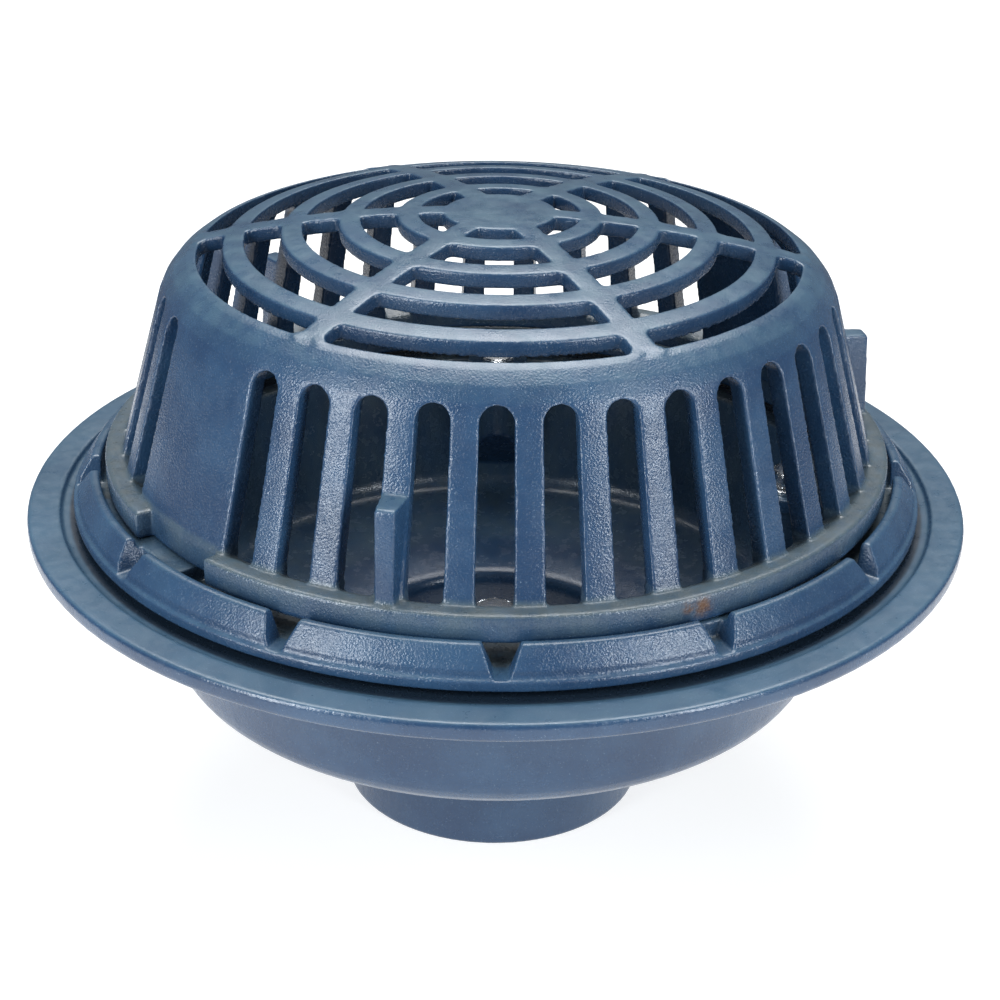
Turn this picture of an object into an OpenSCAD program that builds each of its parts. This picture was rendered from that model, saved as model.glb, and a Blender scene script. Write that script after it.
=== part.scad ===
// Flat roof drain: a cast bowl with a flashing clamp bolted into its mouth and a
// dome strainer that stands in the clamp and lifts out.
// Millimetres, +Z up. The origin is the centre of the outlet's bottom rim, and the
// front of the drain faces -Y. Bearings count from the front towards +X.

/* [Outlet] */
// Outside diameter of the outlet spigot
outlet_dia = 130; // [100:0.5:160]
// Wall of the outlet spigot
outlet_wall = 7.3; // [5:0.1:10]
// Length of the spigot, rim to bowl
outlet_len = 58; // [40:1:90]
// Fillet between the spigot and the bowl
outlet_fillet = 6; // [3:1:10]

/* [Bowl] */
// Inside diameter of the bowl's mouth
bowl_dia = 286; // [236:1:346]
// Depth from the flange's top to the outlet's mouth
bowl_depth = 75; // [62:1:100]
// Wall of the bowl
bowl_wall = 7; // [5.5:0.5:9]
// Floor of the bowl, measured upright at the outlet
bowl_floor = 8; // [6:0.5:10]
// Fall of the floor from the wall to the outlet
floor_fall = 10; // [6:1:20]
// Lean of the wall, in degrees
bowl_lean = 8.5; // [3:0.5:12]
// Radius inside, where the wall turns into the floor
bowl_turn = 9; // [6:1:14]

/* [Flange] */
// How far the flange stands out from the mouth
flange_width = 52.25; // [43:0.25:70]
// Thickness of the flange
flange_thick = 8; // [6:0.5:11]
// Fillet under the flange
flange_fillet = 8; // [4:1:12]
// Depth of the recess that the clamp stands in
recess_depth = 2.2; // [1:0.1:3]
// How far the recess reaches past the clamp
recess_reach = 5.6; // [2:0.1:8]

/* [Clamp bolts] */
// Diameter of the bolt
bolt_dia = 9.5; // [8:0.5:12]
// Width of the hexagon head across its flats
head_flats = 14.3; // [12:0.1:17.5]
// Height of the head
head_h = 6.5; // [5:0.5:8]
// Outside diameter of the washer
washer_dia = 20; // [17:0.5:24]
// Thickness of the washer
washer_thick = 2; // [1.5:0.5:3]
// Length of thread in the boss
bolt_grip = 18; // [14:1:24]
// Distance from the mouth's edge in to the bolt circle
bolt_inset = 18.5; // [17:0.5:26]
// Wall of the boss round its thread
boss_wall = 5; // [4:0.5:8]

/* [Flashing clamp] */
// Gap for the roof membrane under the clamp
membrane_gap = 3.4; // [2:0.1:5]
// Thickness of the clamp's base
clamp_base = 4.6; // [3:0.1:6]
// Width of land between the mouth and the clamp
mouth_land = 7; // [4:0.5:12]
// Height of the clamp's wall above its base
clamp_wall_h = 10.6; // [8:0.1:16]
// Thickness of the wall at its top edge
clamp_edge = 3.6; // [3:0.1:5]
// How far the wall's outside spreads from top to bottom
clamp_spread = 7.7; // [4:0.1:12]
// Height of the lip round the outside
lip_h = 4.2; // [2:0.1:4.5]
// Number of weir notches
notch_count = 13; // [6:1:16]
// Bearing of one notch
notch_bearing = 0.9; // [0:0.1:27]
// Width of a notch at the wall's top
notch_top = 14; // [8:0.5:20]
// Width of a notch at its foot
notch_foot = 5.5; // [3:0.5:8]
// Thickness of a bolt lug
lug_thick = 6; // [5:0.5:9]
// Drop from the flange's top to the lug's top
lug_drop = 1.2; // [1:0.1:8]
// Width of a lug
lug_width = 28; // [26:1:36]

/* [Dome seats] */
// Number of seats that carry the dome
seat_count = 4; // [3:1:6]
// Height of a seat above the clamp's base
seat_h = 6.6; // [4:0.1:8]
// Angle that each seat spans
seat_span = 26; // [10:1:40]
// Bearing of the first seat's middle
seat_bearing = 30; // [20:1:60]

/* [Dome foot] */
// Width of the foot's underside
foot_width = 14.7; // [12:0.1:20]
// Height of the foot
foot_h = 11.2; // [8:0.1:16]
// How far the foot stands out from the wall
foot_lip = 7.3; // [5:0.1:11]
// Number of gaps in the foot
foot_gaps = 2; // [1:1:3]
// Bearing of the first gap's middle
gap_bearing = -50; // [-90:1:90]
// Angle that a gap spans
gap_span = 16.8; // [8:0.1:24]

/* [Dome wall] */
// Height of the dome, foot to crown
dome_h = 106.7; // [90:0.1:130]
// Wall of the dome
dome_wall = 7.8; // [6:0.1:10]
// How far the wall leans in from foot to shoulder
dome_lean_in = 21.4; // [14:0.1:30]
// Radius of the shoulder
shoulder_r = 26; // [12:1:28]
// Places for slots round the wall
slot_places = 38; // [30:2:44]
// Width of a slot at its foot
slot_foot = 14.2; // [10:0.1:16]
// Width of a slot at its top
slot_top = 12.4; // [8:0.1:14]
// Upright distance from the slots to the crown's edge
slot_margin = 8.6; // [5:0.1:14]
// Places left solid over each foot gap
solid_places = 2; // [0:1:4]

/* [Crown grate] */
// Radius of the crown's curve
crown_r = 480; // [380:5:700]
// Thickness of the grate
crown_thick = 6; // [4:0.5:9]
// Width of the rim between the shoulder and the grate
rim_width = 12.1; // [10:0.1:20]
// Number of grate rings
ring_count = 4; // [2:1:5]
// Width of a grate ring
ring_width = 8.6; // [6:0.1:11]
// Diameter of the centre disc
disc_dia = 45.6; // [30:0.2:60]
// Gap between the disc and the first ring
disc_gap = 9.6; // [6:0.1:14]
// Gap between the last ring and the rim
rim_gap = 10.5; // [6:0.1:16]
// Number of spokes
spoke_count = 6; // [3:1:8]
// Width of a spoke
spoke_width = 10; // [7:0.5:14]
// Bearing of one spoke
spoke_bearing = 26; // [0:1:59]

/* [Turning tabs] */
// Ribs that carry a turning tab, counted from the front
tab_ribs = [36.5, 10.5, 23.5]; // [0.5:1:37.5]
// Thickness of a tab at its outer edge
tab_thick = 7; // [5:0.5:8]
// Thickness of a tab where it meets the wall
tab_root = 10; // [8:0.5:11]
// Height of a tab's outer edge above the foot
tab_h = 36; // [20:0.2:50]
// Rise of a tab's top from its edge to the wall
tab_rise = 0.5; // [0:0.5:10]
// How far a tab's edge stays inside the foot's edge
tab_inset = 2; // [1:0.5:6]
// How far a tab's edge leans in on its way up
tab_lean = 2.5; // [0:0.5:6]

/* [Hidden] */

iron_blue = [0.20, 0.31, 0.45];
zinc = [0.80, 0.81, 0.80];

$fn = 96;
// Most degrees that one step of a rounded corner turns
arc_step = 15;
// How far a cutter runs past what it cuts
past = 2;
// Rounding of a cast edge
edge_r = 1.5;
// One bolt at each side, the first at the front
bolt_count = 4;
// Clearances: bolt in a lug, on the diameter; thread in a boss, on the diameter; dome on its
// seats; foot inside the clamp's wall; lug off the bowl's wall; washer in its spot-face
bolt_clear = 1;
thread_clear = 0.1;
seat_gap = 0.3;
foot_clear = 2.6;
lug_clear = 1.5;
washer_room = 0.8;
// Thickness of a lug where it rises over the mouth's edge
riser_thick = 7;

// Heights
flange_top = outlet_len + bowl_floor + bowl_depth;
flange_under = flange_top - flange_thick;
outlet_mouth = outlet_len + bowl_floor;
recess_z = flange_top - recess_depth;
clamp_under = recess_z + membrane_gap;
base_top = clamp_under + clamp_base;
clamp_top = base_top + clamp_wall_h;
seat_top = base_top + seat_h;
lug_top = flange_top - lug_drop;
lug_under = lug_top - lug_thick;
foot_under = seat_top + seat_gap;
foot_top = foot_under + foot_h;
crown_top = foot_under + dome_h;

// Radii
outlet_r = outlet_dia / 2;
bore_r = outlet_r - outlet_wall;
bowl_r = bowl_dia / 2;
flange_r = bowl_r + flange_width;
bolt_circle_r = bowl_r - bolt_inset;
boss_r = bolt_dia / 2 + boss_wall;
clamp_in_r = bowl_r + mouth_land;
foot_r = clamp_in_r + foot_width - foot_clear;
clamp_wall_r = foot_r + foot_clear;
clamp_r = clamp_wall_r + clamp_edge + clamp_spread;
recess_r = clamp_r + recess_reach;
foot_in_r = foot_r - foot_width;
dome_base_r = foot_r - foot_lip;
shoulder_edge_r = dome_base_r - dome_lean_in;
rim_r = shoulder_edge_r - rim_width;
disc_r = disc_dia / 2;
first_ring_r = disc_r + disc_gap + ring_width;
ring_pitch = (rim_r - rim_gap - first_ring_r) / (ring_count - 1);
slot_pitch = 360 / slot_places;
notch_pitch = 360 / notch_count;

// The crown is flat out to flat_r and curves down from there
flat_r = disc_r - past;
function crown_rise(r) = sqrt(crown_r * crown_r - r * r);
function crown_z(r) = crown_top - crown_rise(flat_r) + crown_rise(max(r, flat_r));
shoulder_z = crown_z(shoulder_edge_r);
dome_slope = dome_lean_in / (shoulder_z - foot_top);
function dome_wall_r(z) = dome_base_r - dome_slope * (z - foot_top);
function bowl_wall_r(z) = bowl_r - (flange_top - z) * tan(bowl_lean);

// An outline through corners [x, y, radius], each rounded to its own radius
function unit(v) = v / norm(v);
function point(corner) = [corner[0], corner[1]];
function rounded_corner(before, at, after, radius) =
    let (
        back = unit(before - at),
        ahead = unit(after - at),
        half = acos(back * ahead) / 2,
        centre = at + unit(back + ahead) * radius / sin(half),
        start = at + back * radius / tan(half) - centre,
        turn = -sign(cross(back, ahead)) * (180 - 2 * half),
        first = atan2(start[1], start[0]),
        steps = max(2, ceil(abs(turn) / arc_step))
    )
    [for (i = [0:steps]) centre + radius * [cos(first + turn * i / steps), sin(first + turn * i / steps)]];
function outline(corners) =
    let (last = len(corners) - 1)
    [for (i = [0:last])
        each corners[i][2] == 0
            ? [point(corners[i])]
            : rounded_corner(point(corners[i == 0 ? last : i - 1]), point(corners[i]),
                             point(corners[i == last ? 0 : i + 1]), corners[i][2])];

// Turns what is drawn along +X to a bearing
module at_bearing(bearing) {
    rotate([0, 0, bearing - 90]) children();
}

// Repeats what is drawn along +X at every bolt
module at_bolts() {
    for (i = [0:bolt_count - 1])
        at_bearing(i * 360 / bolt_count) translate([bolt_circle_r, 0, 0]) children();
}

// Stands a side view, drawn as distance out and height, up as a slab along +X
module slab(width) {
    rotate([90, 0, 0]) linear_extrude(width, center = true) children();
}

// Plan of an arm with a round nose at the bolt, reaching out to a radius
module nosed_plan(width, reach_r) {
    translate([bolt_circle_r, 0]) circle(d = width);
    translate([bolt_circle_r, -width / 2]) square([reach_r - bolt_circle_r, width]);
}

// ---- Drain body: spigot, bowl and flange in one casting ----

module bowl_and_flange() {
    skin = bowl_wall / cos(bowl_lean);
    turn_z = outlet_len + floor_fall;
    rotate_extrude()
        polygon(outline([
            [bore_r, 0, edge_r],
            [outlet_r, 0, edge_r],
            [outlet_r, outlet_len, outlet_fillet],
            [bowl_wall_r(turn_z) + skin, turn_z, bowl_turn + bowl_wall],
            [bowl_wall_r(flange_under) + skin, flange_under, flange_fillet],
            [flange_r, flange_under, flange_thick * 0.4],
            [flange_r, flange_top, edge_r],
            [recess_r, flange_top, edge_r / 2],
            [recess_r, recess_z, edge_r / 2],
            [bowl_r, recess_z, edge_r],
            [bowl_wall_r(outlet_mouth + floor_fall), outlet_mouth + floor_fall, bowl_turn],
            [bore_r, outlet_mouth, outlet_fillet]
        ]));
}

// A bolt boss grows out of the bowl's wall under its lug
module bolt_boss() {
    nose_r = bolt_circle_r - boss_r;
    nose_h = bolt_grip + boss_wall;
    bury = bowl_wall / 2;
    root_z = lug_under - nose_h - (bowl_wall_r(lug_under) - nose_r);
    intersection() {
        slab(boss_r * 3)
            polygon([
                [nose_r - past, lug_under],
                [bowl_wall_r(lug_under) + bury, lug_under],
                [bowl_wall_r(root_z) + bury, root_z],
                [nose_r, lug_under - nose_h],
                [nose_r - past, lug_under - nose_h]
            ]);
        translate([0, 0, root_z - past])
            linear_extrude(lug_under - root_z + 2 * past)
                nosed_plan(2 * boss_r, bowl_r + bowl_wall);
    }
}

module drain_body() {
    color(iron_blue)
        difference() {
            union() {
                bowl_and_flange();
                for (i = [0:bolt_count - 1])
                    at_bearing(i * 360 / bolt_count) bolt_boss();
            }
            at_bolts()
                translate([0, 0, lug_under - bolt_grip - past])
                    cylinder(h = bolt_grip + 2 * past, d = bolt_dia + thread_clear);
        }
}

// ---- Flashing clamp: base, notched wall, dome seats and bolt lugs ----

module clamp_ring() {
    rotate_extrude()
        polygon(outline([
            [clamp_in_r, clamp_under, edge_r / 2],
            [clamp_r, clamp_under, edge_r / 2],
            [clamp_r, clamp_under + lip_h, edge_r / 2],
            [clamp_r - clamp_spread, clamp_top, edge_r],
            [clamp_wall_r, clamp_top, edge_r],
            [clamp_wall_r, base_top, edge_r],
            [clamp_in_r, base_top, edge_r / 2]
        ]));
}

module dome_seat() {
    root_z = clamp_under + clamp_base / 2;
    rotate([0, 0, -seat_span / 2])
        rotate_extrude(angle = seat_span)
            translate([clamp_in_r, root_z])
                square([clamp_wall_r + clamp_edge / 2 - clamp_in_r, seat_top - root_z]);
}

// A lug drops over the mouth's edge and reaches in under the bolt's washer
module bolt_lug() {
    half_width = lug_width / 2;
    riser_out = sqrt(pow(bowl_wall_r(lug_under) - lug_clear, 2) - half_width * half_width);
    riser_in = riser_out - riser_thick;
    nose_r = bolt_circle_r - half_width;
    root_r = clamp_in_r + past;
    intersection() {
        slab(lug_width)
            polygon(outline([
                [nose_r - past, lug_under, 0],
                [riser_out, lug_under, lug_thick / 3],
                [riser_out, clamp_under, edge_r],
                [root_r, clamp_under, 0],
                [root_r, base_top, 0],
                [riser_in, base_top, lug_thick / 2],
                [riser_in, lug_top, lug_thick / 2],
                [nose_r - past, lug_top, 0]
            ]));
        translate([0, 0, lug_under - past])
            linear_extrude(base_top - lug_under + 2 * past)
                nosed_plan(lug_width, root_r + past);
    }
}

// Weir notch: wide at the top, narrow at the foot, its floor falling outwards to the lip
module weir_notch() {
    foot_z = clamp_under + lip_h;
    flare = (notch_top - notch_foot) / (clamp_top - foot_z);
    brim = notch_top + past * flare;
    intersection() {
        translate([clamp_wall_r - past, 0, 0])
            rotate([90, 0, 90])
                linear_extrude(clamp_r - clamp_wall_r + 2 * past)
                    polygon([
                        [-notch_foot / 2, foot_z],
                        [notch_foot / 2, foot_z],
                        [brim / 2, clamp_top + past],
                        [-brim / 2, clamp_top + past]
                    ]);
        slab(2 * notch_top)
            polygon([
                [clamp_wall_r - past, base_top],
                [clamp_wall_r, base_top],
                [clamp_r, foot_z],
                [clamp_r + past, foot_z],
                [clamp_r + past, clamp_top + past],
                [clamp_wall_r - past, clamp_top + past]
            ]);
    }
}

module flashing_clamp() {
    color(iron_blue)
        difference() {
            union() {
                clamp_ring();
                for (i = [0:seat_count - 1])
                    at_bearing(seat_bearing + i * 360 / seat_count) dome_seat();
                for (i = [0:bolt_count - 1])
                    at_bearing(i * 360 / bolt_count) bolt_lug();
            }
            for (i = [0:notch_count - 1])
                at_bearing(notch_bearing + i * notch_pitch) weir_notch();
            at_bolts() {
                translate([0, 0, lug_under - past])
                    cylinder(h = lug_thick + 2 * past, d = bolt_dia + bolt_clear);
                translate([0, 0, lug_top])
                    cylinder(h = base_top - lug_top + past, d = washer_dia + 2 * washer_room);
            }
        }
}

// ---- Dome strainer: foot, slotted wall and ring-and-spoke crown in one casting ----

// Points on the crown's curve from one radius to another, lowered by a drop
function crown_curve(from_r, to_r, drop) =
    let (steps = 8)
    [for (i = [0:steps])
        let (r = from_r + (to_r - from_r) * i / steps)
        [r, crown_z(r) - drop, 0]];

module dome_shell() {
    under_z = crown_z(shoulder_edge_r - dome_wall) - crown_thick;
    under_r = dome_wall_r(under_z) - dome_wall;
    rotate_extrude()
        polygon(outline(concat(
            [
                [foot_in_r, foot_under, edge_r / 2],
                [foot_r, foot_under, edge_r],
                [foot_r, foot_top, edge_r],
                [dome_base_r, foot_top, 0],
                [shoulder_edge_r, shoulder_z, shoulder_r]
            ],
            crown_curve(shoulder_edge_r - shoulder_r, flat_r, 0),
            [
                [0, crown_top, 0],
                [0, crown_top - crown_thick, 0]
            ],
            crown_curve(flat_r, under_r - shoulder_r, crown_thick),
            [
                [under_r, crown_z(under_r) - crown_thick, shoulder_r - dome_wall],
                [foot_in_r, foot_top - foot_h / 3, 0]
            ]
        )));
}

// A slot: straight sides that draw in towards a round top, cut outwards from inside
module wall_slot() {
    top_z = shoulder_z - slot_margin;
    top_r = slot_top / 2;
    inside_r = dome_wall_r(top_z) - dome_wall - past;
    translate([inside_r, 0, 0])
        rotate([90, 0, 90])
            linear_extrude(foot_r - inside_r) {
                polygon([
                    [-slot_foot / 2, foot_top],
                    [slot_foot / 2, foot_top],
                    [top_r, top_z - top_r],
                    [-top_r, top_z - top_r]
                ]);
                translate([0, top_z - top_r]) circle(r = top_r);
            }
}

// Slot places left solid: those nearest the middle of a foot gap
function off_gap(bearing) =
    let (from_gap = (bearing - gap_bearing) % (360 / foot_gaps),
         span = 360 / foot_gaps)
    min(abs(from_gap), span - abs(from_gap));
function is_slot(place) = off_gap(place * slot_pitch) > solid_places * slot_pitch / 2;

// Plan of the openings between the crown's rings and spokes
module grate_openings() {
    difference() {
        circle(r = rim_r);
        for (k = [0:ring_count - 1])
            difference() {
                circle(r = first_ring_r + k * ring_pitch);
                circle(r = first_ring_r + k * ring_pitch - ring_width);
            }
        circle(r = disc_r);
        for (k = [0:spoke_count - 1])
            rotate(spoke_bearing + k * 360 / spoke_count - 90)
                translate([0, -spoke_width / 2])
                    square([rim_r + past, spoke_width]);
    }
}

// Tab for turning the dome by hand or boot, standing on the foot against a rib; it thins
// towards its outer edge
module turning_tab() {
    tab_edge_r = foot_r - tab_inset;
    edge_top = foot_top + tab_h;
    wall_top = edge_top + tab_rise;
    root_r = dome_wall_r(wall_top);
    bury = dome_wall / 2;
    taper = (tab_root - tab_thick) / 2 / (tab_edge_r - root_r);
    inner = [root_r - bury - past, tab_thick / 2];
    root = [root_r, tab_root / 2];
    outer = [tab_edge_r + past, tab_thick / 2 - taper * past];
    intersection() {
        slab(tab_root + 2 * past)
            polygon(outline([
                [dome_base_r - bury, foot_top - foot_h / 2, 0],
                [tab_edge_r, foot_top - foot_h / 2, 0],
                [tab_edge_r - tab_lean, edge_top, edge_r],
                [root_r - bury, wall_top, 0]
            ]));
        translate([0, 0, foot_under])
            linear_extrude(foot_h + tab_h + tab_rise + past)
                polygon(concat([inner, root, outer], [for (p = [outer, root, inner]) [p[0], -p[1]]]));
    }
}

// A gap parts the foot's lip and leaves the wall whole behind it
module foot_gap() {
    rotate([0, 0, -gap_span / 2])
        rotate_extrude(angle = gap_span)
            translate([dome_base_r + edge_r / 3, foot_under - past])
                square([foot_lip + past, foot_h + 2 * past]);
}

module dome_strainer() {
    color(iron_blue)
        union() {
            difference() {
                dome_shell();
                for (place = [0:slot_places - 1])
                    if (is_slot(place))
                        at_bearing(place * slot_pitch) wall_slot();
                translate([0, 0, crown_z(rim_r) - 2 * crown_thick])
                    linear_extrude(crown_top - crown_z(rim_r) + 2 * crown_thick + past)
                        grate_openings();
                for (i = [0:foot_gaps - 1])
                    at_bearing(gap_bearing + i * 360 / foot_gaps) foot_gap();
            }
            for (rib = tab_ribs)
                at_bearing(rib * slot_pitch) turning_tab();
        }
}

// ---- Clamp bolts and washers ----

module clamp_bolt(place) {
    head_r = head_flats / 2 / cos(30);
    chamfer = (head_r - head_flats / 2) * 1.3;
    seat_z = lug_top + washer_thick;
    color(zinc)
        at_bearing(place * 360 / bolt_count)
            translate([bolt_circle_r, 0, seat_z])
                union() {
                    intersection() {
                        cylinder(h = head_h, r = head_r, $fn = 6);
                        rotate_extrude()
                            polygon([
                                [0, 0],
                                [head_r + past, 0],
                                [head_r + past, head_h - chamfer / 2 - past * tan(30)],
                                [head_r - chamfer, head_h],
                                [0, head_h]
                            ]);
                    }
                    translate([0, 0, -washer_thick - lug_thick - bolt_grip])
                        cylinder(h = washer_thick + lug_thick + bolt_grip + past, d = bolt_dia);
                }
}

module clamp_washer(place) {
    color(zinc)
        at_bearing(place * 360 / bolt_count)
            translate([bolt_circle_r, 0, lug_top])
                difference() {
                    cylinder(h = washer_thick, d = washer_dia);
                    translate([0, 0, -past])
                        cylinder(h = washer_thick + 2 * past, d = bolt_dia + bolt_clear);
                }
}

drain_body();
flashing_clamp();
dome_strainer();
clamp_bolt(0);  // bolt_front
clamp_bolt(1);  // bolt_right
clamp_bolt(2);  // bolt_back
clamp_bolt(3);  // bolt_left
clamp_washer(0);  // washer_front
clamp_washer(1);  // washer_right
clamp_washer(2);  // washer_back
clamp_washer(3);  // washer_left
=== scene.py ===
"""Flat roof drain: a coated cast iron body, flashing clamp and dome strainer, and zinc plated
clamp bolts. Metres, +Z up, the front of the drain towards -Y."""
import math

import bmesh
import bpy
from mathutils import Matrix, Vector


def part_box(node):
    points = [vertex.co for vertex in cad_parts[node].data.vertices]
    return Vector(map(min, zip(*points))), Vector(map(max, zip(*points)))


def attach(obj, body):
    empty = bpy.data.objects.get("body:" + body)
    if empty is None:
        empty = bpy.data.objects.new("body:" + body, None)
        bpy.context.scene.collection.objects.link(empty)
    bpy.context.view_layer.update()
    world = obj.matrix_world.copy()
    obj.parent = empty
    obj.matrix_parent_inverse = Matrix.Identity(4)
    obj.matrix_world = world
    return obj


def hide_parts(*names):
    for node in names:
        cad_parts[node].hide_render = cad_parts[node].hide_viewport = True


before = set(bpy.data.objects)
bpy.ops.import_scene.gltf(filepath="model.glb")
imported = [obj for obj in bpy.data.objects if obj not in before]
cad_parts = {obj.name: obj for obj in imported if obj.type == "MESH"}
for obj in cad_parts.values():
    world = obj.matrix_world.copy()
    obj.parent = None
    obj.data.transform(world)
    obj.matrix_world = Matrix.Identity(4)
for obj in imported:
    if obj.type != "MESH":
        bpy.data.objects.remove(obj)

MM = 0.001
AROUND = Vector((0, 0, 1))
COOL_WHITE = (0.90, 0.96, 1.0)
CLAMP_RISE = 1.2 * MM


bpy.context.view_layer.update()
body_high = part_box("drain_body")[1]
clamp_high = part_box("flashing_clamp")[1]
dome_low, dome_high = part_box("dome_strainer")
deck_z = body_high.z
clamp_foot = deck_z + CLAMP_RISE


def bearing(degrees):
    """Turn about the drain's axis from +X to a bearing counted from the front towards +X."""
    return Matrix.Rotation(math.radians(degrees - 90), 4, AROUND)


# ---- Camera, light and floor ----

ROOM_GLOW, ROOM_SEEN = 0.20, 1.0
CEILING_GLOW, CEILING_SOFT, CEILING_LEAN = 4.0, 50, -23
PAPER_GREY, PAPER_GLOW = 0.42, 0.72
FLOOR_REACH, CARD_RADIUS = 60, 0.7
STRIP_HEIGHT, STRIP_AWAY, STRIP_TALL = 20, 1.6, 1.3


def set_camera(reach, height, pan, tilt, roll, lens):
    """A camera a reach away from the middle of the flange's top, looking down at it."""
    place = Vector((0, -reach * math.cos(height), reach * math.sin(height)))
    ahead = -place.normalized()
    right = Vector((1, 0, 0))
    up = right.cross(ahead)
    turn = Matrix.Rotation(-pan, 3, up)
    ahead, right = turn @ ahead, turn @ right
    turn = Matrix.Rotation(tilt, 3, right)
    ahead, up = turn @ ahead, turn @ up
    turn = Matrix.Rotation(roll, 3, ahead)
    right, up = turn @ right, turn @ up
    data = bpy.data.cameras.new("camera")
    data.sensor_width = 36
    data.lens = lens
    data.clip_start, data.clip_end = 0.01, 200
    camera = bpy.data.objects.new("camera", data)
    camera.matrix_world = Matrix((
        (right.x, up.x, -ahead.x, place.x),
        (right.y, up.y, -ahead.y, place.y),
        (right.z, up.z, -ahead.z, place.z + deck_z),
        (0, 0, 0, 1)))
    bpy.context.scene.collection.objects.link(camera)
    bpy.context.scene.camera = camera


def strip_light(name, degrees, width, glow):
    """An upright strip light on a bearing, turned to the drain. Its power follows from its size,
    so that every strip of one glow is equally bright."""
    data = bpy.data.lights.new(name, "AREA")
    data.shape = "RECTANGLE"
    data.size, data.size_y = width, STRIP_TALL
    data.energy = glow * math.pi * width * STRIP_TALL
    data.color = COOL_WHITE
    middle = Vector((0, 0, deck_z))
    rise = math.radians(STRIP_HEIGHT)
    out = bearing(degrees) @ Vector((math.cos(rise), 0, math.sin(rise)))
    lamp = bpy.data.objects.new(name, data)
    lamp.location = middle + out * STRIP_AWAY
    lamp.rotation_mode = "QUATERNION"
    lamp.rotation_quaternion = (-out).to_track_quat("-Z", "Y")
    bpy.context.scene.collection.objects.link(lamp)


def set_daylight():
    """A dim room that the camera sees as white, and a wide ceiling light over the drain."""
    world = bpy.data.worlds.new("studio")
    world.use_nodes = True
    tree = world.node_tree
    back = tree.nodes["Background"]
    back.inputs["Color"].default_value = (0.96, 0.98, 1.0, 1)
    seen = tree.nodes.new("ShaderNodeLightPath")
    strength = tree.nodes.new("ShaderNodeMapRange")
    strength.inputs["To Min"].default_value = ROOM_GLOW
    strength.inputs["To Max"].default_value = ROOM_SEEN
    tree.links.new(seen.outputs["Is Camera Ray"], strength.inputs["Value"])
    tree.links.new(strength.outputs["Result"], back.inputs["Strength"])
    bpy.context.scene.world = world
    bpy.context.scene.view_settings.view_transform = "Standard"

    sky = bpy.data.lights.new("ceiling", "SUN")
    sky.energy = CEILING_GLOW
    sky.angle = math.radians(CEILING_SOFT)
    ceiling = bpy.data.objects.new("ceiling", sky)
    ceiling.rotation_euler = (math.radians(CEILING_LEAN), 0, 0)
    bpy.context.scene.collection.objects.link(ceiling)


def white_paper():
    """Matt paper that glows a little, so that it reads white."""
    paper = bpy.data.materials.new("paper")
    paper.use_nodes = True
    shader = paper.node_tree.nodes["Principled BSDF"]
    shader.inputs["Base Color"].default_value = (PAPER_GREY, PAPER_GREY, PAPER_GREY, 1)
    shader.inputs["Roughness"].default_value = 0.9
    shader.inputs["Specular IOR Level"].default_value = 0.1
    shader.inputs["Emission Color"].default_value = (1, 1, 1, 1)
    shader.inputs["Emission Strength"].default_value = PAPER_GLOW
    return paper


def lay_floor():
    """A pale floor that casts light on the drain but leaves no mirror image in its coating, and a
    fill card under the drain that only reflections see."""
    paper = white_paper()
    bm = bmesh.new()
    bmesh.ops.create_grid(bm, x_segments=2, y_segments=2, size=FLOOR_REACH)
    floor = link(bm, "floor", paper)
    floor.visible_glossy = False

    bm = bmesh.new()
    bmesh.ops.create_circle(bm, segments=64, radius=CARD_RADIUS, cap_ends=True)
    bmesh.ops.translate(bm, verts=bm.verts, vec=(0, 0, 0.1 * MM))
    card = link(bm, "fill_card", paper)
    card.visible_camera = card.visible_diffuse = card.visible_shadow = False


# ---- Finishes ----

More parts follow.
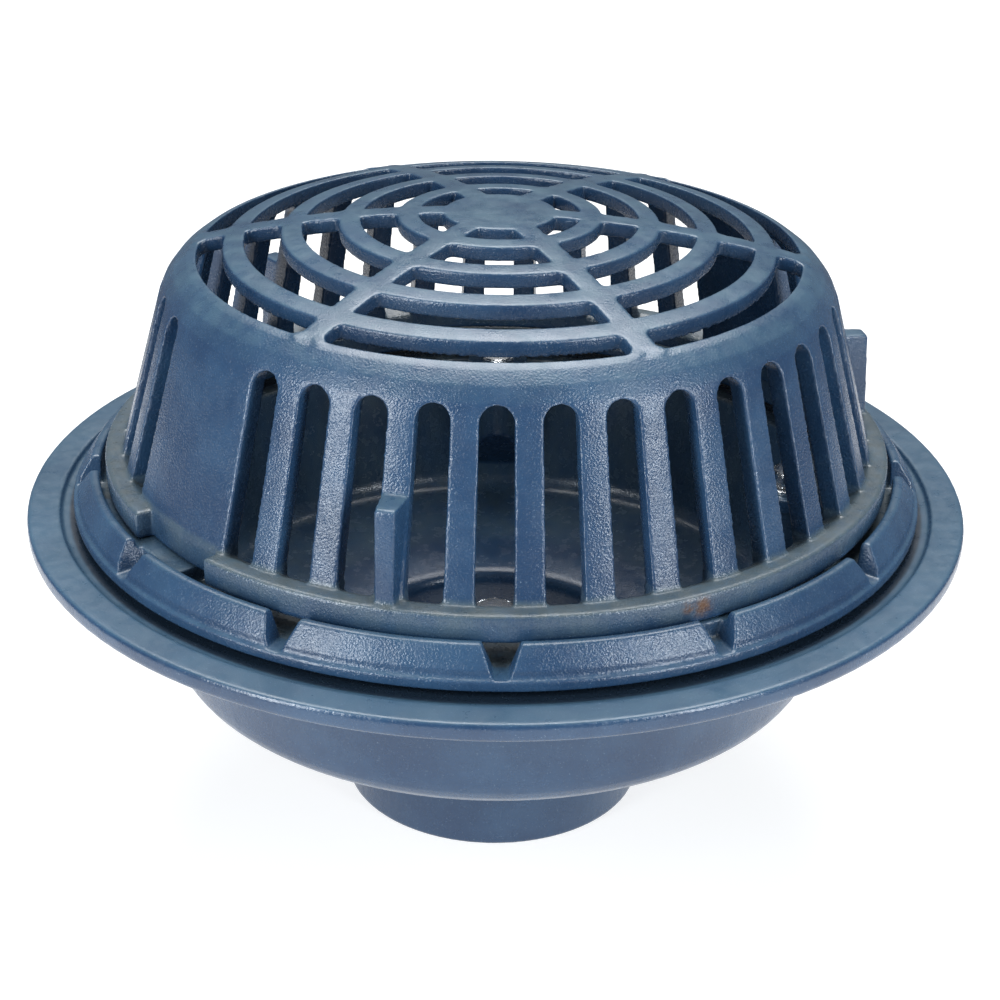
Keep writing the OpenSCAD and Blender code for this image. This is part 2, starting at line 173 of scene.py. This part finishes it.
class Finish:
    """A material with short calls for the nodes that its pattern is made of."""

    def __init__(self, name):
        self.material = bpy.data.materials.new(name)
        self.material.use_nodes = True
        self.tree = self.material.node_tree
        self.shader = self.tree.nodes["Principled BSDF"]
        self.object = self.node("ShaderNodeTexCoord").outputs["Object"]

    def node(self, kind, **settings):
        """A new node of a kind."""
        made = self.tree.nodes.new(kind)
        for key, value in settings.items():
            setattr(made, key, value)
        return made

    def feed(self, socket, value):
        """Links another node's output to a socket, or sets a constant on it."""
        if hasattr(value, "is_output"):
            self.tree.links.new(value, socket)
        else:
            socket.default_value = value

    def noise(self, scale, detail=2, rough=0.5, stretch=None):
        """Cloudy pattern about the piece, finer as the scale grows."""
        made = self.node("ShaderNodeTexNoise")
        where = self.object
        if stretch:
            place = self.node("ShaderNodeMapping")
            place.inputs["Scale"].default_value = stretch
            self.feed(place.inputs["Vector"], where)
            where = place.outputs["Vector"]
        self.feed(made.inputs["Vector"], where)
        made.inputs["Scale"].default_value = scale
        made.inputs["Detail"].default_value = detail
        made.inputs["Roughness"].default_value = rough
        return made.outputs["Fac"]

    def band(self, value, low, high, to_low=0.0, to_high=1.0):
        """Value between low and high, eased on to the range to_low to to_high."""
        made = self.node("ShaderNodeMapRange", interpolation_type="SMOOTHSTEP")
        self.feed(made.inputs["Value"], value)
        for socket, number in zip(("From Min", "From Max", "To Min", "To Max"),
                                  (low, high, to_low, to_high)):
            made.inputs[socket].default_value = number
        return made.outputs["Result"]

    def maths(self, kind, first, second):
        """Two values added or multiplied."""
        made = self.node("ShaderNodeMath", operation=kind)
        self.feed(made.inputs[0], first)
        self.feed(made.inputs[1], second)
        return made.outputs["Value"]

    def blend(self, amount, first, second):
        """The first colour where the amount is nought, the second where it is one."""
        made = self.node("ShaderNodeMix", data_type="RGBA")
        self.feed(made.inputs["Factor"], amount)
        for socket, value in (("A", first), ("B", second)):
            found = [i for i in made.inputs if i.name == socket and i.type == "RGBA"][0]
            self.feed(found, value)
        return [o for o in made.outputs if o.type == "RGBA"][0]

    def bump(self, height, depth, strength, under=None):
        """Small relief, laid over another relief if one is given."""
        made = self.node("ShaderNodeBump")
        self.feed(made.inputs["Height"], height)
        made.inputs["Distance"].default_value = depth
        self.feed(made.inputs["Strength"], strength)
        if under:
            self.feed(made.inputs["Normal"], under)
        return made.outputs["Normal"]

    def ring_mask(self, inner, outer, low, high, soft=0.8 * MM):
        """One within a ring round the drain's axis, fading over its soft edges."""
        flat = self.node("ShaderNodeMapping")
        flat.inputs["Scale"].default_value = (1, 1, 0)
        self.feed(flat.inputs["Vector"], self.object)
        length = self.node("ShaderNodeVectorMath", operation="LENGTH")
        self.feed(length.inputs[0], flat.outputs["Vector"])
        radius, height = length.outputs["Value"], self.axis(self.object, "Z")
        mask = self.band(radius, inner - soft, inner + soft)
        for value, edge, past, near in ((radius, outer, 0.0, 1.0), (height, low, 1.0, 0.0),
                                        (height, high, 0.0, 1.0)):
            fade = self.band(value, edge - soft, edge + soft, near, past)
            mask = self.maths("MULTIPLY", mask, fade)
        return mask

    def spot_mask(self, degrees, radius, height, size):
        """One at a point on a bearing, fading to nothing at a size away from it."""
        centre = bearing(degrees) @ Vector((radius, 0, height))
        away = self.node("ShaderNodeVectorMath", operation="DISTANCE")
        self.feed(away.inputs[0], self.object)
        away.inputs[1].default_value = centre
        return self.band(away.outputs["Value"], 0.2 * size, size, 1.0, 0.0)

    def axis(self, vector, name):
        """One part of a vector."""
        made = self.node("ShaderNodeSeparateXYZ")
        self.feed(made.inputs["Vector"], vector)
        return made.outputs[name]


DEEP_BLUE, WORN_BLUE = (0.012, 0.037, 0.087, 1), (0.021, 0.057, 0.118, 1)
DUST, WATER_MARK = (0.066, 0.130, 0.172, 1), (0.062, 0.096, 0.122, 1)
# The second colour below is painted shade, near black, for gaps and recesses under parts.
SILT, GAP_SHADE = (0.068, 0.087, 0.094, 1), (0.014, 0.026, 0.044, 1)
# The second colour below is pale, for fine specks painted in as painted glints.
RUST, GLINT_SPECK = (0.095, 0.045, 0.022, 1), (0.20, 0.27, 0.34, 1)
DULL_ZINC, BRIGHT_ZINC = (0.70, 0.71, 0.72, 1), (0.88, 0.89, 0.90, 1)


def coated_iron(name, dust, rough, settled=None, even=0.25, film=(), silt=(), rust=(), gap_shade=()):
    """Semi-gloss blue coating over a sand cast skin. Pale dust lies on what faces up, within
    a ring if one is settled, and with fewer patches where it is even. Film and silt are lists
    of rings (inner and outer radius, low and high z) where grey water marks or silt have
    gathered;
    the rings of the last argument are painted near black as painted shade in gaps and recesses
    under parts, and rust is a list of spots (bearing, radius, z, size) where it shows through."""
    f = Finish(name)
    cloud = f.band(f.noise(24, 4, 0.6), 0.35, 0.68)
    colour = f.blend(cloud, DEEP_BLUE, WORN_BLUE)
    facing = f.axis(f.node("ShaderNodeNewGeometry").outputs["Normal"], "Z")
    lying = f.band(facing, 0.40, 0.98)
    patch = f.band(f.noise(60, 5, 0.7), 0.28, 0.72, even, 1.0)
    dusty = f.maths("MULTIPLY", f.maths("MULTIPLY", lying, patch), dust)
    if settled:
        dusty = f.maths("MULTIPLY", dusty, f.ring_mask(*settled))
    colour = f.blend(dusty, colour, DUST)
    soil = f.band(f.noise(140, 5, 0.75), 0.30, 0.66, 0.2, 0.9)
    stain = f.band(f.noise(90, 4, 0.65, stretch=(1, 1, 0.4)), 0.25, 0.75, 0.15, 0.7)
    stain = f.maths("MULTIPLY", stain, f.band(facing, -0.12, 0.03))
    for ring in film:
        colour = f.blend(f.maths("MULTIPLY", f.ring_mask(*ring), stain), colour, WATER_MARK)
    for ring in silt:
        level = f.maths("MULTIPLY", soil, f.band(facing, 0.2, 0.8))
        colour = f.blend(f.maths("MULTIPLY", f.ring_mask(*ring), level), colour, SILT)
    # Painted shade: these rings are blended to near black where gaps and recesses under parts lie
    # in shade.
    for ring in gap_shade:
        colour = f.blend(f.ring_mask(*ring), colour, GAP_SHADE)
    for spot in rust:
        amount = f.maths("MULTIPLY", f.spot_mask(*spot), f.band(f.noise(260, 4, 0.7), 0.38, 0.62))
        colour = f.blend(amount, colour, RUST)
    # Painted glints: fine pale specks painted into the base colour.
    glint_speck = f.band(f.noise(1700, 1, 0.5), 0.68, 0.78, 0.0, 0.45)
    f.feed(f.shader.inputs["Base Color"], f.blend(glint_speck, colour, GLINT_SPECK))
    gloss = f.band(f.noise(170, 3, 0.6), 0.3, 0.7, 0.19, 0.30)
    f.feed(f.shader.inputs["Roughness"], f.maths("ADD", gloss, f.maths("MULTIPLY", dusty, 0.20)))
    f.shader.inputs["Specular IOR Level"].default_value = 0.65
    swell = f.bump(f.noise(45, 2, 0.5), 0.0008, 0.3)
    strength = f.maths("MULTIPLY", f.band(facing, 0.6, 0.99, 1.0, 0.45), rough)
    grain = f.bump(f.noise(1200, 2, 0.55), 0.00027, strength, swell)
    f.feed(f.shader.inputs["Normal"], grain)
    return f.material


def zinc_plate(name):
    """Bright plated steel, a little uneven in shade and gloss."""
    f = Finish(name)
    shade = f.band(f.noise(400, 3, 0.6), 0.3, 0.7)
    f.feed(f.shader.inputs["Base Color"], f.blend(shade, DULL_ZINC, BRIGHT_ZINC))
    f.shader.inputs["Metallic"].default_value = 1.0
    f.feed(f.shader.inputs["Roughness"], f.band(f.noise(900, 2, 0.5), 0.3, 0.7, 0.14, 0.26))
    f.feed(f.shader.inputs["Normal"], f.bump(f.noise(300, 2, 0.5), 0.0001, 0.06))
    return f.material


# ---- Castings ----

MOST_TRIANGLES = 190000


def merged_copy(node):
    """A bmesh of a CAD node with its loose triangles joined."""
    bm = bmesh.new()
    bm.from_mesh(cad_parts[node].data)
    bmesh.ops.remove_doubles(bm, verts=bm.verts, dist=MM / 1000)
    return bm


def link(bm, name, material):
    """Makes an object of a bmesh and puts it in the scene."""
    mesh = bpy.data.meshes.new(name)
    bm.to_mesh(mesh)
    bm.free()
    mesh.materials.clear()
    if material:
        mesh.materials.append(material)
    piece = bpy.data.objects.new(name, mesh)
    bpy.context.scene.collection.objects.link(piece)
    return piece


def settle(piece):
    """Applies the piece's modifiers."""
    graph = bpy.context.evaluated_depsgraph_get()
    mesh = bpy.data.meshes.new_from_object(piece.evaluated_get(graph))
    piece.modifiers.clear()
    piece.data = mesh


def carve(bm, cutter):
    """Takes one bmesh away from another."""
    whole, tool = (link(part, name, None) for part, name in ((bm, "whole"), (cutter, "tool")))
    cut = whole.modifiers.new("cut", "BOOLEAN")
    cut.operation, cut.solver, cut.object = "DIFFERENCE", "MANIFOLD", tool
    settle(whole)
    result = bmesh.new()
    result.from_mesh(whole.data)
    for piece in (whole, tool):
        bpy.data.objects.remove(piece)
    return result


def cast(piece, grain, passes):
    """Gives a piece a sand casting's skin: every edge and corner softened by a few grains."""
    skin = piece.modifiers.new("skin", "REMESH")
    skin.mode = "VOXEL"
    skin.voxel_size = grain
    settle(piece)
    bm = bmesh.new()
    bm.from_mesh(piece.data)
    for _ in range(passes):
        bmesh.ops.smooth_vert(bm, verts=bm.verts, factor=0.5, use_axis_x=True,
                              use_axis_y=True, use_axis_z=True)
    bm.to_mesh(piece.data)
    bm.free()
    thin = piece.modifiers.new("thin", "DECIMATE")
    thin.ratio = min(1, MOST_TRIANGLES / (2 * len(piece.data.polygons)))
    settle(piece)
    piece.data.shade_smooth()


def casting(node, bm, body, material, grain, passes):
    """The finished casting that stands for a CAD node."""
    piece = link(bm, node + "_cast", material)
    cast(piece, grain, passes)
    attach(piece, body)
    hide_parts(node)
    return piece


# ---- Dome strainer ----

FOOT_TALL, FOOT_LIP, DOME_WALL = 11.2 * MM, 7.3 * MM, 7.8 * MM
SLOT_PLACES, SLOT_FOOT = 38, 14.2 * MM
GAP_BEARING, GAPS = -50, 2
CROWN_CURVE, CROWN_FLAT = 480 * MM, 20.8 * MM
RIM, RING_EDGES = 121.3 * MM, [41.0 * MM + 23.27 * MM * k for k in range(4)]
SPOKES, SPOKE, SPOKE_BEARING = 6, 10 * MM, 26
SILL_TALL, SILL_SIDE, SILL_LEAN, SILL_PAST = 6 * MM, 1 * MM, -30, 4 * MM
RING_FILLET, RIM_FILLET, FILLET_TALL, FILLET_SUNK = 1.3 * MM, 3.0 * MM, 4.6 * MM, 2.7 * MM

foot_top = dome_low.z + FOOT_TALL
foot_edge = dome_high.x
wall_foot = foot_edge - FOOT_LIP


def open_slots():
    """Bearings of the slots, leaving out the two places over each gap in the foot."""
    step, span = 360 / SLOT_PLACES, 360 / GAPS
    for place in range(SLOT_PLACES):
        off = (place * step - GAP_BEARING) % span
        if min(off, span - off) > step:
            yield place * step


def slot_sills():
    """Wedges that let each slot's floor fall away inwards through the wall."""
    bm = bmesh.new()
    deep = DOME_WALL + SILL_PAST
    for degrees in open_slots():
        block = bmesh.ops.create_cube(bm, size=1)["verts"]
        bmesh.ops.scale(bm, verts=block, vec=(deep, SLOT_FOOT - SILL_SIDE, SILL_TALL))
        bmesh.ops.translate(bm, verts=block, vec=(-deep / 2, 0, SILL_TALL / 2))
        bmesh.ops.rotate(bm, verts=block, cent=(0, 0, 0),
                         matrix=Matrix.Rotation(math.radians(SILL_LEAN), 3, "Y"))
        bmesh.ops.translate(bm, verts=block, vec=(wall_foot - 0.6 * MM, 0, foot_top - 0.2 * MM))
        bmesh.ops.rotate(bm, verts=block, cent=(0, 0, 0), matrix=bearing(degrees))
    bmesh.ops.recalc_face_normals(bm, faces=bm.faces)
    return bm


def crown_height(radius):
    """Height of the crown's top at a radius."""
    rise = math.sqrt(CROWN_CURVE ** 2 - max(radius, CROWN_FLAT) ** 2)
    return dome_high.z - math.sqrt(CROWN_CURVE ** 2 - CROWN_FLAT ** 2) + rise


def add_corner_fillet(bm, degrees, radius, side, reach):
    """A small block set square across the corner of a spoke and a ring."""
    block = bmesh.ops.create_cube(bm, size=1)["verts"]
    wide = reach * math.sqrt(2)
    bmesh.ops.scale(bm, verts=block, vec=(wide, wide, FILLET_TALL))
    bmesh.ops.rotate(bm, verts=block, cent=(0, 0, 0), matrix=Matrix.Rotation(math.pi / 4, 3, "Z"))
    bmesh.ops.rotate(bm, verts=block, cent=(0, 0, 0),
                     matrix=Matrix.Rotation(radius / CROWN_CURVE, 3, "Y"))
    out = math.sqrt(radius ** 2 - (SPOKE / 2) ** 2)
    bmesh.ops.translate(bm, verts=block,
                        vec=(out, side * SPOKE / 2, crown_height(radius) - FILLET_SUNK))
    bmesh.ops.rotate(bm, verts=block, cent=(0, 0, 0), matrix=bearing(degrees))


def dome_casting():
    """The strainer, with its sills and fillets, water-marked and dusty at the foot."""
    bm = carve(merged_copy("dome_strainer"), slot_sills())
    edges = [(outer, RING_FILLET) for outer in RING_EDGES] + [(RIM, RIM_FILLET)]
    for spoke in range(SPOKES):
        for radius, reach in edges:
            for side in (1, -1):
                add_corner_fillet(bm, SPOKE_BEARING + spoke * 360 / SPOKES, radius, side, reach)
    foot = (wall_foot - DOME_WALL, foot_edge + 1 * MM, foot_top - 5 * MM, foot_top + 1.5 * MM)
    rust = [(27.6, foot_edge, dome_low.z + 6.5 * MM, 6 * MM),
            (25.4, foot_edge, dome_low.z + 7.5 * MM, 4 * MM)]
    film = (wall_foot - DOME_WALL - 2 * MM, foot_edge + 2 * MM,
            dome_low.z - 2 * MM, foot_top + 2 * MM)
    material = coated_iron("coated_dome", dust=0.62, rough=1.0, film=[film], silt=[foot],
                           rust=rust)
    return casting("dome_strainer", bm, "strainer", material, 0.65 * MM, passes=4)


# ---- Flashing clamp ----

LIP_TALL, GROOVE = 4.2 * MM, 2.2 * MM


def lip_groove():
    """A ring that cuts a shallow groove along the wall's foot, so that the lip stands proud."""
    bm = bmesh.new()
    start = bmesh.ops.create_circle(bm, segments=24, radius=GROOVE)["verts"]
    bmesh.ops.rotate(bm, verts=start, cent=(0, 0, 0), matrix=Matrix.Rotation(math.pi / 2, 3, "X"))
    bmesh.ops.translate(bm, verts=start, vec=(clamp_high.x, 0, clamp_foot + LIP_TALL + GROOVE))
    rim = list({edge for corner in start for edge in corner.link_edges})
    bmesh.ops.spin(bm, geom=rim + start, cent=(0, 0, 0), axis=(0, 0, 1), angle=2 * math.pi,
                   steps=180, use_merge=True)
    bmesh.ops.recalc_face_normals(bm, faces=bm.faces)
    return bm


def clamp_casting():
    """The flashing clamp, with silt behind its wall and painted shade, near black, in the gap
    under it.
    """
    bm = carve(merged_copy("flashing_clamp"), lip_groove())
    silt = [(120 * MM, clamp_high.x - 10 * MM, clamp_foot, clamp_foot + 9 * MM)]
    # Painted shade: the next ring paints the clamp's underside near black in the gap over the
    # flange.
    under = (140 * MM, clamp_high.x - 1 * MM, clamp_foot - 1 * MM, clamp_foot + 0.3 * MM)
    inside = (120 * MM, foot_edge + 1 * MM, clamp_foot, clamp_high.z - 2 * MM)
    material = coated_iron("coated_clamp", dust=0.45, rough=0.9, film=[inside], silt=silt,
                           gap_shade=[under])
    return casting("flashing_clamp", bm, "drain", material, 0.5 * MM, passes=5)


# ---- Drain body ----

def body_casting():
    """The body, with dust on its flange only, water marks in its bowl and painted shade, near
    black, in the recess under the clamp.
    """
    bm = merged_copy("drain_body")
    silt = [(124 * MM, 150 * MM, deck_z - 16 * MM, deck_z)]
    # Painted shade: the next ring paints the recess under the clamp's lip near black.
    recess = (150 * MM, clamp_high.x + 2 * MM, deck_z - 4 * MM, deck_z - 1 * MM)
    flange = (clamp_high.x, body_high.x + 5 * MM, deck_z - 12 * MM, deck_z + 5 * MM)
    bowl = (84 * MM, 149 * MM, 70 * MM, deck_z - 1 * MM)
    material = coated_iron("coated_body", dust=0.5, rough=0.45, settled=flange, even=0.7,
                           film=[bowl], silt=silt, gap_shade=[recess])
    return casting("drain_body", bm, "drain", material, 0.8 * MM, passes=3)


# ---- Bolts and washers ----

BOLT_SOFT, WASHER_SOFT = 0.7 * MM, 0.35 * MM
FLAT_ANGLE, SHARP_ANGLE = math.radians(1), math.radians(25)


def fasteners(zinc):
    """Rolled, plated edges on the bolts and washers."""
    for side in ("front", "right", "back", "left"):
        for kind, soft in (("bolt", BOLT_SOFT), ("washer", WASHER_SOFT)):
            node = f"{kind}_{side}"
            bm = merged_copy(node)
            bmesh.ops.dissolve_limit(bm, angle_limit=FLAT_ANGLE, verts=bm.verts, edges=bm.edges)
            sharp = [edge for edge in bm.edges if edge.calc_face_angle(0) > SHARP_ANGLE]
            bmesh.ops.bevel(bm, geom=sharp, offset=soft, offset_type="OFFSET", segments=3,
                            profile=0.5, material=-1, affect="EDGES")
            piece = link(bm, node + "_plated", zinc)
            piece.data.shade_smooth()
            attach(piece, "drain")
            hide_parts(node)


set_camera(reach=0.89175, height=math.radians(25.335), pan=math.radians(0.110),
           tilt=math.radians(-0.529), roll=math.radians(-0.803), lens=75.6)
set_daylight()
strip_light("left_box", degrees=-47, width=0.28, glow=21.5)
strip_light("right_box", degrees=46, width=0.20, glow=25.0)
lay_floor()

body_casting()
clamp_casting()
dome_casting()

fasteners(zinc_plate("zinc_plate"))
